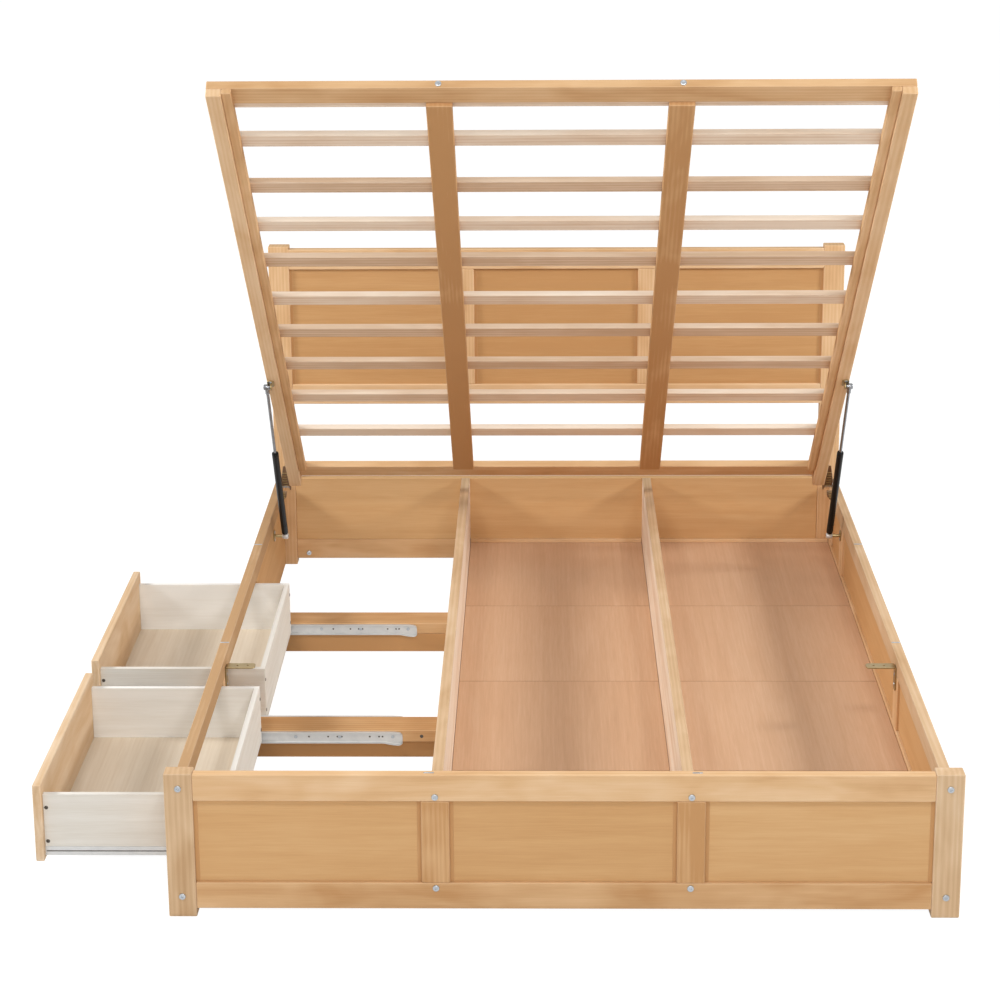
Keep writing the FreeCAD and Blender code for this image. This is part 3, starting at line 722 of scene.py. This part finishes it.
def crisp(data, sharp_from=32):
    data.shade_smooth()
    data.set_sharp_from_angle(angle=math.radians(sharp_from))


print("metal shapes ready")

# %% [markdown]
# ## Bolts, screws and strips
# Bolts with a hexagon socket hold the posts and rails together, and cross-head screws hold the fittings.
# Only the heads show, so a template is a head alone: rings that close in to the socket's outline and then
# go down into it. Short steel strips lie across the tops of the side rails and the footboard.

# %% Bolt and screw templates
# Each pair is a reach and a height
bolt_profile = mm((7, 0), (7, 1.6), (6.6, 2.4), (5.5, 3), (3.4, 3))
bolt_profile += [(hexagon(0.0031), 0.0028), (hexagon(0.003), 0.0009)]
screw_profile = mm((4.2, 0), (4.2, 0.3), (3.7, 0.9), (2.9, 1.2), (2.6, 1.2))
screw_profile += [(cross(0.0022, 0.0006), 0.0011), (cross(0.0018, 0.0005), 0.0004)]


def head(name, profile):
    mesh = bmesh.new()
    turned(mesh, profile, sides=24)
    made = template(name, mesh)
    crisp(made.data)
    return made


bolt_head, screw_head = head("bolt_head", bolt_profile), head("screw_head", screw_profile)
print("bolt head faces:", len(bolt_head.data.polygons), "screw head faces:", len(screw_head.data.polygons))

# %% Bolts
SIDES = (-1, 1)
head_height, apron_bolt_x, apron_bolt_z = mm(3, 718, 36)
apron_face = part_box("headboard_bottom_rail")[0].y
bolt_rows = (("footboard_bolts", -1, Matrix()), ("headboard_bolts", 1, Matrix()), ("lid_bolts", -1, LID))
for seed, (node, side, turn) in enumerate(bolt_rows, 2):
    spots = []
    for low, high in islands(node, turn):
        seat = (low + high) / 2
        seat.y = low.y + head_height if side < 0 else high.y - head_height
        spots.append((seat, (0, side, 0)))
    if node == "headboard_bolts":
        spots += [(at(end * apron_bolt_x, apron_face, apron_bolt_z), (0, -1, 0)) for end in SIDES]
    set_copies(node[:-1] + "_heads", spots, bolt_head, "bolt_steel", node, seed=seed, turn=turn)
    print(node, len(spots))

# %% Steel strips on the rail tops
*strip_size, strip_corner, strip_ease = mm(21, 5, 0.9, 1.6, 0.3)
mesh = bmesh.new()
boxes = islands("rail_top_screws")
for low, high in boxes:
    spot = at((low.x + high.x) / 2, (low.y + high.y) / 2, low.z)
    plate(mesh, *strip_size, strip_corner, Matrix.Translation(spot), strip_ease)
keep_metal("rail_top_strips", mesh, "bolt_steel", "rail_top_screws")
print("rail strips:", len(boxes))

# %% [markdown]
# ## Drawer slides
# A roller slide is one strip of zinc-plated steel, folded to a channel and punched along its length. Its
# inner end is dressed outwards and rounded, so that the roller finds its way in. The folded channel is a
# row of sections skinned together, and a second tree punches the holes with a Boolean.

# %% A tree that punches holes
punch = Growth("punch_holes", Places="Object", Radius="Float", Depth="Float", Finish="Material")
pin = punch.add("GeometryNodeMeshCylinder", {"Vertices": 14, "Radius": punch.given("Radius"),
                                             "Depth": punch.given("Depth")}, "Mesh")
pins = punch.set_out(punch.model("Places"), pin)
holed = punch.add("GeometryNodeMeshBoolean", {"Mesh 1": punch.given("Geometry"), "Mesh 2": pins}, "Mesh",
                  operation="DIFFERENCE", solver="EXACT")
punch.end_with(holed)


def punched(name, mesh, spots, radius, depth, finish, node):
    """Punch holes through a mesh and keep it."""
    bmesh.ops.recalc_face_normals(mesh, faces=mesh.faces)
    data = plain(name + "_blank", mesh)
    marks = bpy.data.objects.new(name + "_places", places(name + "_places", spots))
    data = punch.bake(name, data, Places=marks, Radius=radius, Depth=depth, Finish=finishes[finish])
    crisp(keep_mesh(name, data, finish, node).data)


print("punch tree:", len(punch.tree.nodes), "nodes")

# %% Slides
sheet, fold, cut, touching, fine_ease = mm(1.5, 2, 0.6, 0.1, 0.1)
inner = fold + cut
hole_places = mm(23, 47, 55, 77, 143, 153, 175, 220, 251)
screw_places = mm(23, 148, 251)
hole_radius, hole_depth = mm(2.4, 6)
# Dark plates behind the punched holes are painted shade, so that the holes show dark
shade_back_place, shade_back_gap, *shade_back_size, shade_back_corner = mm(137, 0.2, 250, 7, 0.6, 2)
# Distance from the inner end, how far the lower edge dips there, and how far the upper edge droops
end_shape = mm((48, 0, 0), (40, 0.8, 0), (30, 3, 0), (20, 4.8, 0.3), (10, 5.5, 1), (5, 4.8, 2.2),
               (2, 3, 4.2), (0, 0.5, 7.5))
bay_rails = [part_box(node) for node in web_shares]
mesh, shade_backs = bmesh.new(), bmesh.new()
hole_spots, screw_spots = [], []
boxes = islands("bay_slides")
for low, high in boxes:
    opens = 1 if any(abs(low.y - rail[1].y) < touching for rail in bay_rails) else -1
    face = low.y if opens > 0 else high.y
    tall, deep = high.z - low.z, high.y - low.y
    sections = []
    for end, dip, droop in [(high.x - low.x, 0, 0)] + end_shape:
        base, top = -dip, tall - droop
        outline = [(deep, base), (fold, base), (cut, base + cut), (0, base + fold),
                   (0, top - fold), (cut, top - cut), (fold, top), (deep, top),
                   (deep, top - sheet), (inner, top - sheet), (sheet, top - inner),
                   (sheet, base + inner), (inner, base + sheet), (deep, base + sheet)]
        sections.append([at(high.x - end, face + opens * out, low.z + up) for out, up in outline])
    skin(mesh, sections)
    middle = low.z + tall / 2
    back = at(high.x - shade_back_place, face + opens * shade_back_gap, middle)
    plate(shade_backs, *shade_back_size, shade_back_corner, stand(back, (0, opens, 0)), fine_ease)
    hole_spots += [(at(high.x - place, face, middle), (0, 1, 0)) for place in hole_places]
    seat = face + opens * sheet
    screw_spots += [(at(high.x - place, seat, middle), (0, opens, 0)) for place in screw_places]
punched("bay_slide_channels", mesh, hole_spots, hole_radius, hole_depth, "slide_steel", "bay_slides")
keep_metal("slide_hole_backs", shade_backs, "dark_steel")
print("slides:", len(boxes), "holes:", len(hole_spots))

# %% [markdown]
# ## Hinges and gas struts
# Each side has a pressed hinge with bent lips and a stacked knuckle, and a gas strut: a black barrel on
# a ball socket, with a bright rod. Barrel and rod are turned shapes laid along the line between the two
# studs. The hinge is built from plates, with ribs set along the lips by the repeat tree.

# %% Hinge leaves and knuckles
leaf, leaf_width, leaf_corner, leaf_ease = mm(3, 26, 9, 0.6)
lip_sheet, lip_shift, screw_shift = mm(2, 13.8, 3)
# The length and middle of a leaf, the outline of its lip, and where its ribs and its screws sit
frame_leaf = mm(61, 17.5, ((0, -14), (22, -14), (19, -32), (7, -46), (0, -46)),
                ((9.5, 20), (9.5, 27), (9.5, 34)), (18, 38))
lid_leaf = mm(163, 68.5, ((0, -20), (24, -20), (22, -60), (8, -146), (0, -146)),
              ((11, 26), (11, 42), (11, 58), (9.88, 74), (8.6, 90), (7.32, 106)), (30, 80, 130))
disc_places = mm(4.2, 10.2, 16.2, 22.2)
disc = mm((5, 0), (8.8, 0.4), (9.2, 1.2), (9.2, 2.8), (8.8, 3.6), (5, 4))
knuckle = mm((4.5, 0.6), (5, 1))
knuckle += [(radius, place + height) for place in disc_places for radius, height in disc]
knuckle += mm((5, 31), (4.5, 31.6))
*rib_size, rib_corner = mm(13, 4.8, 1.4, 1.8)
mesh_frame, mesh_lid, mesh_pins = bmesh.new(), bmesh.new(), bmesh.new()
frame_ribs, lid_ribs, lid_screw_spots = [], [], []
out_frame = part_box("hinge_frame_leaves")[1].x
out_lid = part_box("hinge_lid_leaves")[1].x


def hinge_leaf(mesh, turn, rib_spots, screw_spots, length, middle, lip, ribs_at, screws_at):
    """One leaf and its bent lip, laid out across, along and over the hinge line."""
    foot = stand(at(0, -middle, 0), (1, 0, 0), (0, 1, 0))
    plate(mesh, leaf_width, length, leaf, leaf_corner, turn @ foot, leaf_ease)
    fin(mesh, lip, lip_sheet, turn @ Matrix.Translation((0, 0, -lip_shift)))
    across_way, over_way = turn.to_3x3().col[0], turn.to_3x3().col[2]
    rib_spots += [(turn @ at(across, -along, -lip_shift), -over_way) for across, along in ribs_at]
    screw_spots += [(turn @ at(leaf, -along, screw_shift), across_way) for along in screws_at]


for side in SIDES:
    upright = Matrix(((-side, 0, 0, side * out_frame), (0, 0, 1, hinge.y), (0, 1, 0, hinge.z), (0, 0, 0, 1)))
    hinge_leaf(mesh_frame, upright, frame_ribs, screw_spots, *frame_leaf)
    start = at(side * (out_lid - leaf), 0, 0)
    lying = Matrix.Translation(start) @ Matrix.Diagonal((side, 1, 1, 1))
    hinge_leaf(mesh_lid, lying, lid_ribs, lid_screw_spots, *lid_leaf)
    turned(mesh_pins, knuckle, stand(start + hinge, (side, 0, 0)), 24)
keep_metal("hinge_frame_plates", mesh_frame, "hinge_bronze", "hinge_frame_leaves")
mesh_lid.transform(LID)
keep_metal("hinge_lid_plates", mesh_lid, "hinge_bronze", "hinge_lid_leaves")
keep_metal("hinge_knuckles", mesh_pins, "bolt_steel", "hinge_pins")
mesh = bmesh.new()
plate(mesh, *rib_size, rib_corner, Matrix())
rib = template("hinge_rib", mesh)
crisp(rib.data)
set_copies("hinge_frame_ribs", frame_ribs, rib, "bracket_brass", spin=0.0, seed=5)
set_copies("hinge_lid_ribs", lid_ribs, rib, "bracket_brass", body="lid", spin=0.0, seed=6, turn=LID)
print("hinges:", len(SIDES), "ribs:", len(frame_ribs) + len(lid_ribs))

# %% Gas struts
# Each pair is a radius and a height along the strut; the rod and collar are measured down from the top
barrel = mm((6.2, 13.5), (7.8, 14.2), (8.8, 15.6), (9, 17.5), (9, 52), (8.5, 52.6), (8.5, 53.4), (9, 54),
            (9, 335), (8.4, 335.8), (8.4, 337.2), (9, 338), (9, 346.5), (8.4, 348.3), (6.4, 348.9),
            (4.6, 348.9))
socket = mm((4.8, -8.8), (6.6, -8.2), (7.6, -6), (8, -2), (8, 2), (7.6, 6), (6.6, 8.2), (4.8, 8.8))
neck = mm((5.2, 4), (5.2, 10.5), (5.8, 11.2), (5.8, 13.8))
rod = mm((3.4, 280), (4, 279.2), (4, 19), (3.6, 18.4))
collar = mm((5.4, 24), (5.8, 23.2), (5.8, 12), (5, 4))
stud = mm((6, 2.5), (6, 3.8), (5, 4.6), (4, 5), (4, 40), (3.6, 40.8))
*foot_size, foot_corner = mm(18, 30, 3, 5)
*tab_size, tab_corner = mm(16, 19, 3, 7)
reach, hang, rail_base, tab_face, tab_drop, screw_step = mm(655, 32.5, -20.5, 744.6, 10.5, 10.5)
mesh_frame, mesh_lid = bmesh.new(), bmesh.new()


def keep_turned(name, finish, shapes, *rest, **more):
    """Keep one piece made of turned shapes, each a profile and the matrix that lays it in place."""
    mesh = bmesh.new()
    for profile, turn in shapes:
        turned(mesh, profile, turn)
    keep_metal(name, mesh, finish, *rest, **more)


for name, side in zip(("left", "right"), SIDES):
    strut = name + "_strut"
    foot = Vector(joints[strut + "_swing"]["pos_m"])
    line = LID @ at(foot.x, -reach, -hang) - foot
    span = line.length
    along, across = stand(foot, line, (0, 1, 0)), stand(foot, (1, 0, 0), (0, 1, 0))
    above = Matrix.Translation(line) @ across
    rod_up, collar_up = ([(radius, span - down) for radius, down in shape] for shape in (rod, collar))
    low_end, top_end = [(socket, across), (neck, along)], [(socket, above), (collar_up, along)]
    keep_turned(strut + "_tube", "strut_black", [(barrel, along)], strut + "_barrel")
    keep_turned(strut + "_foot_socket", "slide_steel", low_end, body=strut + "_cylinder")
    keep_turned(strut + "_piston_rod", "rod_chrome", [(rod_up, along)], strut + "_rod")
    keep_turned(strut + "_top_socket", "rod_chrome", top_end, body=strut + "_piston")
    inward = (-side, 0, 0)
    wall = at(side * out_frame, foot.y, foot.z)
    plate(mesh_frame, *foot_size, foot_corner, stand(wall, inward), leaf_ease)
    turned(mesh_frame, stud, stand(wall, inward), 24)
    under = at(side * tab_face, -reach, rail_base)
    plate(mesh_lid, *foot_size, foot_corner, stand(under, (0, 0, -1), (0, 1, 0)), leaf_ease)
    tab = at(side * (tab_face - leaf), -reach, rail_base - tab_drop)
    plate(mesh_lid, *tab_size, tab_corner, stand(tab, (side, 0, 0)), leaf_ease)
    for step in (-screw_step, screw_step):
        screw_spots.append((wall + at(-side * leaf, 0, step), inward))
        lid_screw_spots.append((under + at(0, step, -leaf), (0, 0, -1)))
keep_metal("strut_foot_plates", mesh_frame, "bracket_brass", "strut_frame_brackets")
mesh_lid.transform(LID)
keep_metal("strut_lid_plates", mesh_lid, "bracket_brass", "strut_lid_brackets")
print("struts:", len(SIDES), "each", round(span, 4), "m between studs")

# %% [markdown]
# ## Angle brackets
# Two angles of yellow-zinc steel stand on the side rails. Each is a flat strip with rounded ends, bent
# once. A box for each leg would leave a hard corner, so the strip is skinned along its bent path.

# %% Angle brackets
thick, bend, rim = mm(3, 5, 0.5)
bend_steps = 6
# Distance from an end of the strip, and how much each edge draws in there
end_taper = mm((0, 8), (1.2, 4.2), (3.5, 1.4), (6.5, 0))
hole_radius, hole_depth, hole_places, screw_drops = mm(2.8, 8, (28, 52), (22, 46))
mesh = bmesh.new()
hole_spots = []
boxes = islands("lid_rest_brackets")
for low, high in boxes:
    side = 1 if low.x > 0 else -1
    rail_face = side * max(abs(low.x), abs(high.x))
    arm, drop, middle = high.x - low.x, high.z - low.z, (low.y + high.y) / 2
    half_thick, radius = thick / 2, bend - thick / 2
    path = [(arm - end, half_thick, 0, 1, narrow) for end, narrow in end_taper]
    for step in range(bend_steps + 1):
        angle = step / bend_steps * math.pi / 2
        lean, rise = math.sin(angle), math.cos(angle)
        path.append((bend - radius * lean, bend - radius * rise, lean, rise, 0))
    path += [(half_thick, drop - end, 1, 0, narrow) for end, narrow in reversed(end_taper)]
    sections = []
    for inwards, down, lean, rise, narrow in path:
        centre = at(rail_face - side * inwards, middle, high.z - down)
        out, along = at(side * lean, 0, rise), at(0, 1, 0)
        half = (high.y - low.y) / 2 - narrow
        corners = ((half - rim, half_thick), (half, half_thick - rim), (half, rim - half_thick),
                   (half - rim, -half_thick))
        section = [centre + along * y + out * z for y, z in corners]
        section += [centre - along * y - out * z for y, z in corners]
        sections.append(section)
    skin(mesh, sections)
    level, seat = high.z - half_thick, rail_face - side * thick
    hole_spots += [(at(rail_face - side * inwards, middle, level), (0, 0, 1)) for inwards in hole_places]
    screw_spots += [(at(seat, middle, high.z - down), (-side, 0, 0)) for down in screw_drops]
punched("lid_angle_brackets", mesh, hole_spots, hole_radius, hole_depth, "bracket_brass", "lid_rest_brackets")
print("angle brackets:", len(boxes), "holes:", len(hole_spots))

# %% [markdown]
# ## Screws
# The fittings made so far have noted where their screws go, and the tree now sets a head at each place,
# turned by chance as a driver leaves it. The drawer boxes and one cross rail have darkened screws.

# %% Screws
set_copies("frame_screws", screw_spots, screw_head, "bolt_steel", seed=7)
set_copies("lid_screws", lid_screw_spots, screw_head, "bolt_steel", body="lid", seed=8, turn=LID)
rail_screw = at(-0.325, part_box("middle_cross_rail")[0].y, 0.068)
set_copies("cross_rail_screw", [(rail_screw, (0, -1, 0))], screw_head, "dark_steel")
count = len(screw_spots) + len(lid_screw_spots) + 1
side_inset, back_inset = mm(6.5, 6)
for name in DRAWERS:
    (near, near_top), (far, far_top) = islands(f"{name}_drawer_sides")
    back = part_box(f"{name}_drawer_back")[1].x
    spots = []
    for share in (0.22, 0.78):
        height = near.z + (near_top.z - near.z) * share
        spots += [(at(near.x + side_inset, near.y, height), (0, -1, 0)),
                  (at(far.x + side_inset, far_top.y, height), (0, 1, 0)),
                  (at(back, near.y + back_inset, height), (1, 0, 0)),
                  (at(back, far_top.y - back_inset, height), (1, 0, 0))]
    set_copies(f"{name}_drawer_screws", spots, screw_head, "dark_steel", body=f"{name}_drawer", seed=9)
    count += len(spots)
print("screws:", count)

# %% [markdown]
# ## Painted shade in the drawer runners' grooves
# Each runner is rolled from strip with a groove along its outer face, where shade gathers. The
# sheet is too thin to cut a groove into, so a fine dark strip set on its face stands for it as painted shade.

# %% Painted groove shade on the drawer runners
# The dark strip on each runner face is painted shade standing for its groove
groove_shade_height, groove_shade_proud, groove_shade_corner, end_gap = mm(2.4, 0.3, 1, 4)
for name in DRAWERS:
    node = f"{name}_drawer_runners"
    low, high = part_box(node)
    ends = [point.co for point in frame["nodes"][node].data.vertices if point.co.x < low.x + touching]
    heights, faces = [point.z for point in ends], [point.y for point in ends]
    mesh = bmesh.new()
    for face, out in ((min(faces), -1), (max(faces), 1)):
        middle = at((low.x + high.x) / 2, face, (min(heights) + max(heights)) / 2)
        plate(mesh, high.x - low.x - end_gap, groove_shade_height, groove_shade_proud, groove_shade_corner,
              stand(middle, (0, out, 0)), fine_ease)
    keep_metal(f"{name}_runner_grooves", mesh, "dark_steel", body=f"{name}_drawer")
    print(name, "drawer: 2 runner grooves")

# %% [markdown]
# ## Last boards and plain nodes
# A low batten closes the storage floor at the head end. What the solid model shows well enough, such as
# the drawer runners and rollers, keeps its own shape and only needs a finish.

# %% Battens at the head end of the storage floor
batten_spans = mm((-247, 247), (273, 785))
batten_depth, batten_overhang, batten_rise = mm(10.5, 0.4, 10)
mesh = new_board_mesh()
low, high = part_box("floor_panels")
for left, right in batten_spans:
    end = at(right, high.y + batten_overhang, high.z + batten_rise)
    add_board(mesh, at(left, high.y - batten_depth, high.z), end, EASE["trim"])
keep("floor_end_battens", mesh, "frame_wood")
print("floor end battens:", len(batten_spans))

# %% Metal nodes that keep their CAD shape
for name, node in frame["nodes"].items():
    node.data.materials.clear()
    node.data.materials.append(finishes[slots[name]])
print("every node has a finish")

# %% [markdown]
# ## Studio
# A white floor that fades to white, and broad soft lamps. The floor shows white to the camera but keeps
# part of its shading, so that the bed's own shadow stays.

# %% Floor, light and camera
half_floor, paper_grey, paper_glow, glow_share, air_light = 60, 0.82, 1.21, 0.8, 0.34
floor_mesh = bpy.data.meshes.new("studio_floor")
corners = [(x * half_floor, y * half_floor, 0) for x, y in ((-1, -1), (1, -1), (1, 1), (-1, 1))]
floor_mesh.from_pydata(corners, [], [(0, 1, 2, 3)])
floor = bpy.data.objects.new("studio_floor", floor_mesh)
scene.collection.objects.link(floor)
floor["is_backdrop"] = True


def show(web, lit, seen, end):
    """End a tree with one shader for the light's rays and another for seen, mirrored and transmitted ones."""
    rays = [web.add("ShaderNodeLightPath", None, f"Is {kind} Ray")
            for kind in ("Camera", "Glossy", "Transmission")]
    shown = web.add("ShaderNodeMixShader", {0: rays[0] + rays[1] + rays[2], 1: lit, 2: seen})
    web.tree.links.new(shown.socket, web.tree.nodes[end].inputs["Surface"])


paper = Finish("white_paper_floor")
matte = paper.add("ShaderNodeBsdfDiffuse", {"Color": (paper_grey, paper_grey, paper_grey, 1)})
white = paper.add("ShaderNodeEmission", {"Color": (1, 1, 1, 1), "Strength": paper_glow})
show(paper, matte, paper.add("ShaderNodeMixShader", {0: glow_share, 1: matte, 2: white}), "Material Output")
floor_mesh.materials.append(paper.material)

world = bpy.data.worlds.new("studio_air")
scene.world = world
world.use_nodes = True
air = Web()
air.tree = world.node_tree
air.tree.nodes.remove(air.tree.nodes["Background"])
dim, bright = (air.add("ShaderNodeBackground", {"Color": (1, 1, 1, 1), "Strength": strength})
               for strength in (air_light, 1.0))
show(air, dim, bright, "World Output")

bed_middle, softbox = (0, 0.2, 0.2), 0.8


def lamp(name, place, power, aim=bed_middle, size=softbox):
    light = bpy.data.lights.new(name, "AREA")
    light.shape, light.size, light.energy = "DISK", size, power
    item = bpy.data.objects.new(name, light)
    item.location = place
    item.rotation_euler = (Vector(aim) - Vector(place)).to_track_quat("-Z", "Y").to_euler()
    scene.collection.objects.link(item)


lamp("left_softbox", (-3.9, -0.1, 2.45), 104)
lamp("right_softbox", (3.9, -0.5, 2.45), 98)
lamp("front_left_softbox", (-1.3, -2.9, 3.7), 34)
lamp("front_right_softbox", (1.3, -2.9, 3.7), 34)
lamp("front_fill", (0.0, -6.5, 3.2), 102, aim=(0, -0.2, 0.3), size=3.0)

camera = bpy.data.cameras.new("photo_camera")
eye = bpy.data.objects.new("photo_camera", camera)
scene.collection.objects.link(eye)
scene.camera = eye
pitch, yaw, roll = (math.radians(angle) for angle in (14.916, -1.01, -0.379))
focal_widths = 2.3719
ahead = at(math.sin(yaw) * math.cos(pitch), math.cos(yaw) * math.cos(pitch), -math.sin(pitch))
eye.location = (-0.0442, -5.4731, 2.378)
eye.rotation_mode = "QUATERNION"
eye.rotation_quaternion = ahead.to_track_quat("-Z", "Y") @ Matrix.Rotation(roll, 3, "Z").to_quaternion()
camera.lens = camera.sensor_width * focal_widths
camera.shift_y = -0.15
camera.clip_end = 200
print("camera at", [round(v, 3) for v in eye.location])

# %% [markdown]
# ## Size
# The finished bed must not outgrow the solid model, so the box of the visual model is printed.

# %% Keep the size
low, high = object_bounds()
print("visual box:", [round(v, 4) for v in low], [round(v, 4) for v in high])
